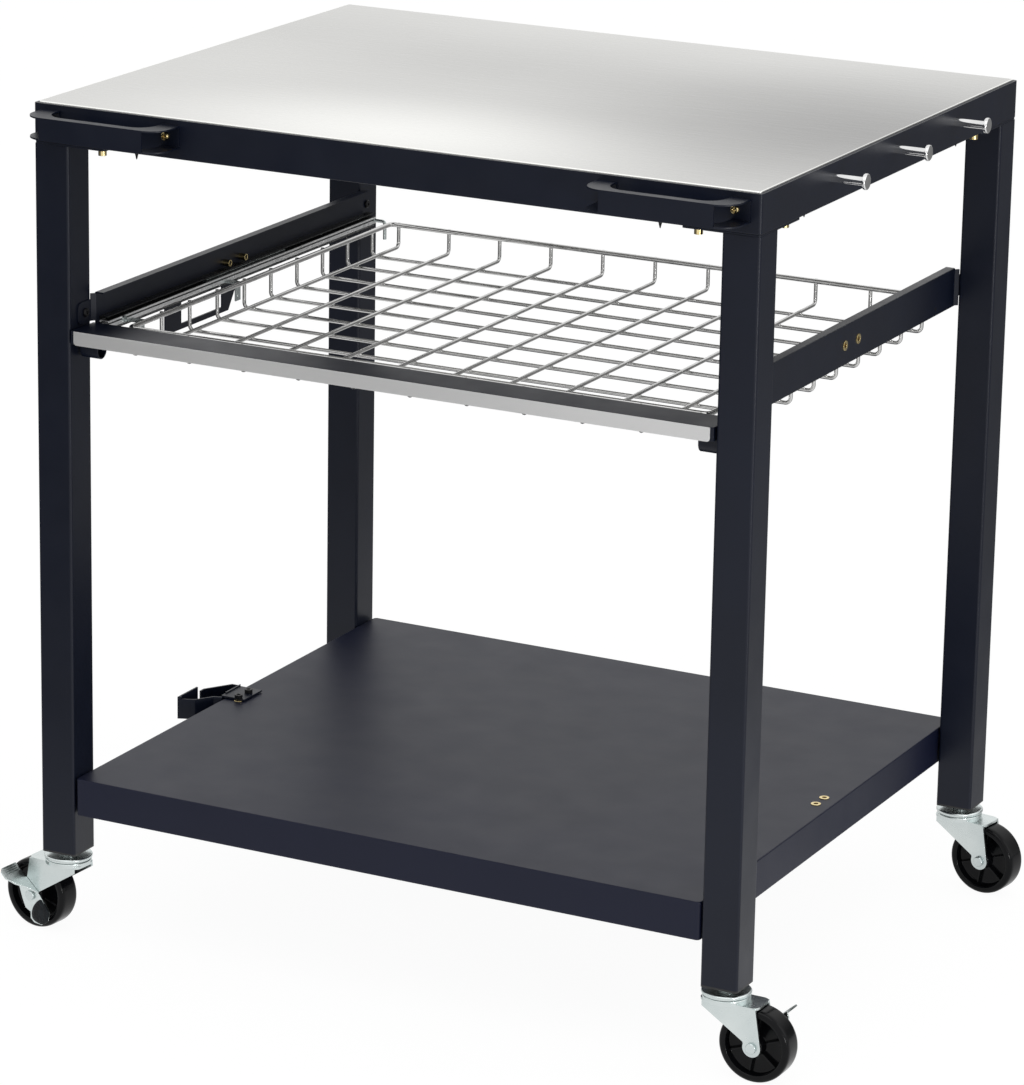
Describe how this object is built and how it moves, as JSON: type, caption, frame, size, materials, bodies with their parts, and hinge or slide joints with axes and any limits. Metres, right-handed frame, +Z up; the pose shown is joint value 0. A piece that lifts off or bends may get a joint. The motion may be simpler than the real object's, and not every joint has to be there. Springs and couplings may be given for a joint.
{
  "type": "outdoor pizza oven table",
  "caption": "Rolling outdoor oven table with a stainless top, folded steel frame, pull-out wire basket, lower shelf, pull handles, side hooks and braked swivel casters.",
  "frame": {"origin": "on the floor, under the middle of the table frame, midway between the four legs", "axes": "+X to the right side with the tool hooks, -Y to the front with the handles, +Z up"},
  "size_m": [0.9092, 0.6852, 0.89],
  "materials": {
    "stainless": "brushed",
    "frame_paint": "fine satin powder coat",
    "shelf_paint": "satin powder coat",
    "bright_wire": "bright plated",
    "bright_zinc": "bright zinc plated",
    "yellow_zinc": "yellow zinc plated",
    "black_screw": "black oxide",
    "wheel_plastic": "glossy black",
    "plug_plastic": "matte black"
  },
  "bodies": {
    "root": {"brace_screws": "black_screw", "caster_stems": "bright_zinc", "corner_bolts": "yellow_zinc", "corner_braces": "frame_paint", "handle_left": "frame_paint", "handle_right": "frame_paint", "handle_screws": "yellow_zinc", "holder_screws": "black_screw", "hook_nuts": "bright_zinc", "leg_front_left": "frame_paint", "leg_front_right": "frame_paint", "leg_plugs": "plug_plastic", "leg_rear_left": "frame_paint", "leg_rear_right": "frame_paint", "leg_rivet_nuts": "yellow_zinc", "lower_holder": "frame_paint", "rail_left": "frame_paint", "rail_right": "frame_paint", "rail_rivet_nuts": "yellow_zinc", "rail_screws": "black_screw", "shelf": "shelf_paint", "shelf_bolts": "bright_zinc", "shelf_ribs": "shelf_paint", "shelf_rivet_nuts": "yellow_zinc", "slide_outer_left": "bright_zinc", "slide_outer_right": "bright_zinc", "slide_screws": "bright_zinc", "tool_hooks": "bright_wire", "top_frame": "frame_paint", "top_panel": "stainless", "upper_holder": "frame_paint"},
    "caster_front_left": {"axle_front_left": "bright_zinc", "fork_front_left": "bright_zinc"},
    "caster_front_right": {"axle_front_right": "bright_zinc", "fork_front_right": "bright_zinc"},
    "caster_rear_left": {"axle_rear_left": "bright_zinc", "fork_rear_left": "bright_zinc"},
    "caster_rear_right": {"axle_rear_right": "bright_zinc", "fork_rear_right": "bright_zinc"},
    "ball_cage_left": {"ball_cage_left": "bright_zinc"},
    "ball_cage_right": {"ball_cage_right": "bright_zinc"},
    "basket": {"basket_cross_wires": "bright_wire", "basket_front_bar": "frame_paint", "basket_front_strip": "stainless", "basket_links_left": "bright_zinc", "basket_links_right": "bright_zinc", "basket_long_wires": "bright_wire", "basket_rim": "bright_wire", "basket_screws": "bright_zinc", "front_clip_left": "frame_paint", "front_clip_right": "frame_paint", "slide_inner_left": "bright_zinc", "slide_inner_right": "bright_zinc"},
    "brake_lever_front_left": {"brake_lever_front_left": "bright_zinc"},
    "brake_lever_front_right": {"brake_lever_front_right": "bright_zinc"},
    "wheel_front_left": {"wheel_front_left": "wheel_plastic"},
    "wheel_front_right": {"wheel_front_right": "wheel_plastic"},
    "wheel_rear_left": {"wheel_rear_left": "wheel_plastic"},
    "wheel_rear_right": {"wheel_rear_right": "wheel_plastic"}
  },
  "joints": [
    {"name": "basket_slide", "type": "slide", "parent": "root", "child": "basket", "axis": [0, -1, 0], "range_m": [0, 0.36]},
    {"name": "ball_cage_left_slide", "type": "slide", "parent": "root", "child": "ball_cage_left", "axis": [0, -1, 0], "range_m": [0, 0.18]},
    {"name": "ball_cage_right_slide", "type": "slide", "parent": "root", "child": "ball_cage_right", "axis": [0, -1, 0], "range_m": [0, 0.18]},
    {"name": "swivel_front_left", "type": "hinge", "parent": "root", "child": "caster_front_left", "pos_m": [-0.38, -0.3, 0.081], "axis": [0, 0, 1], "continuous": true},
    {"name": "wheel_spin_front_left", "type": "hinge", "parent": "caster_front_left", "child": "wheel_front_left", "pos_m": [-0.4158, -0.29624, 0.038], "axis": [-0.1045, -0.9945, 0], "continuous": true},
    {"name": "brake_front_left", "type": "hinge", "parent": "caster_front_left", "child": "brake_lever_front_left", "pos_m": [-0.4158, -0.29624, 0.038], "axis": [-0.1045, -0.9945, 0], "range_deg": [0, 12]},
    {"name": "swivel_front_right", "type": "hinge", "parent": "root", "child": "caster_front_right", "pos_m": [0.38, -0.3, 0.081], "axis": [0, 0, 1], "continuous": true},
    {"name": "wheel_spin_front_right", "type": "hinge", "parent": "caster_front_right", "child": "wheel_front_right", "pos_m": [0.416, -0.3005, 0.038], "axis": [0.014, 0.9999, 0], "continuous": true},
    {"name": "brake_front_right", "type": "hinge", "parent": "caster_front_right", "child": "brake_lever_front_right", "pos_m": [0.416, -0.3005, 0.038], "axis": [0.014, 0.9999, 0], "range_deg": [0, 12]},
    {"name": "swivel_rear_left", "type": "hinge", "parent": "root", "child": "caster_rear_left", "pos_m": [-0.38, 0.3, 0.081], "axis": [0, 0, 1], "continuous": true},
    {"name": "wheel_spin_rear_left", "type": "hinge", "parent": "caster_rear_left", "child": "wheel_rear_left", "pos_m": [-0.41565, 0.29499, 0.038], "axis": [0.1392, -0.9903, 0], "continuous": true},
    {"name": "swivel_rear_right", "type": "hinge", "parent": "root", "child": "caster_rear_right", "pos_m": [0.38, 0.3, 0.081], "axis": [0, 0, 1], "continuous": true},
    {"name": "wheel_spin_rear_right", "type": "hinge", "parent": "caster_rear_right", "child": "wheel_rear_right", "pos_m": [0.41562, 0.2948, 0.038], "axis": [0.1444, 0.9895, 0], "continuous": true}
  ],
  "couplings": [
    {"joint": "ball_cage_left_slide", "follows": "basket_slide", "ratio": 0.5},
    {"joint": "ball_cage_right_slide", "follows": "basket_slide", "ratio": 0.5}
  ]
}
